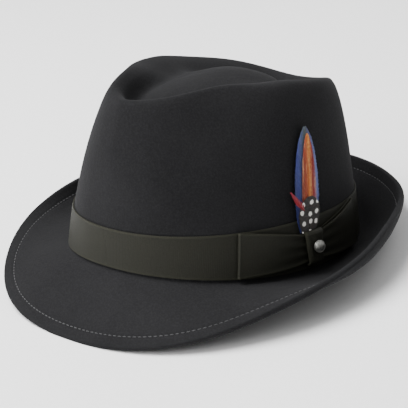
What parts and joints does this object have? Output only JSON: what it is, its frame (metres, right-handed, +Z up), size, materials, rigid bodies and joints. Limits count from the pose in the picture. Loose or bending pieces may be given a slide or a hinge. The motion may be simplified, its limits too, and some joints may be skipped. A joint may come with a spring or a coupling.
{
  "type": "trilby hat",
  "caption": "Felt trilby with a teardrop crown, a snap brim down at the front and up behind, a ribbon band with a flat bow, a feather mount and a small pin.",
  "frame": {"origin": "middle of the bounding box at its base, on the floor", "axes": "-Y towards the front of the hat, +Y towards its back, +X towards the wearer's left where the bow is, +Z up"},
  "size_m": [0.2466, 0.2818, 0.1301],
  "materials": {
    "felt": "brushed wool felt",
    "ribbon": "satin",
    "pin_metal": "satin",
    "feather_blue": "feather",
    "feather_orange": "feather",
    "feather_guinea": "feather",
    "feather_red": "feather"
  },
  "bodies": {
    "root": {"felt_body": "felt", "hat_band": "ribbon", "bow_front_loop": "ribbon", "bow_rear_loop": "ribbon", "bow_knot": "ribbon", "pin": "pin_metal", "feather_blue": "feather_blue", "feather_orange": "feather_orange", "feather_guinea": "feather_guinea", "feather_red": "feather_red"}
  },
  "joints": []
}
